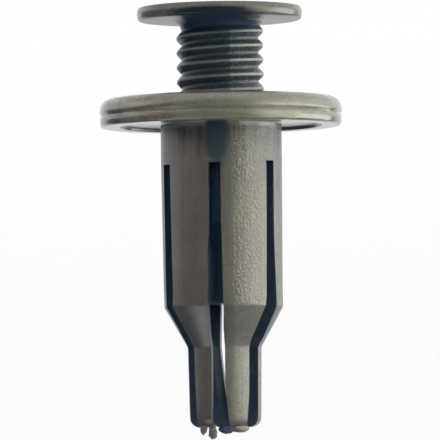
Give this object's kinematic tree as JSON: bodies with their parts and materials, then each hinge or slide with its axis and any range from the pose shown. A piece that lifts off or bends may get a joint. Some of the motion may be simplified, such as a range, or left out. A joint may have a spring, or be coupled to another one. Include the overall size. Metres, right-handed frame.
{
  "type": "screw-type plastic push rivet",
  "caption": "Screw-type plastic push rivet: a flanged grommet with a slotted stem whose legs spread when its flat-headed threaded pin is driven in.",
  "frame": {"origin": "centre of the outer face of the pin's head, on the common axis; the part stands on this face", "axes": "+Z along the common axis from the pin's head towards the nose of the grommet's stem; -Y faces the slot that opens most nearly to the front"},
  "size_m": [0.02, 0.02, 0.0357],
  "materials": {
    "pin_plastic": "satin moulded nylon",
    "grommet_plastic": "satin moulded nylon"
  },
  "bodies": {
    "grommet": {"grommet": "grommet_plastic"},
    "pin": {"pin": "pin_plastic"}
  },
  "joints": [
    {"name": "pin_travel", "type": "slide", "parent": "grommet", "child": "pin", "axis": [0, 0, 1], "range_m": [0, 0.00758]}
  ]
}
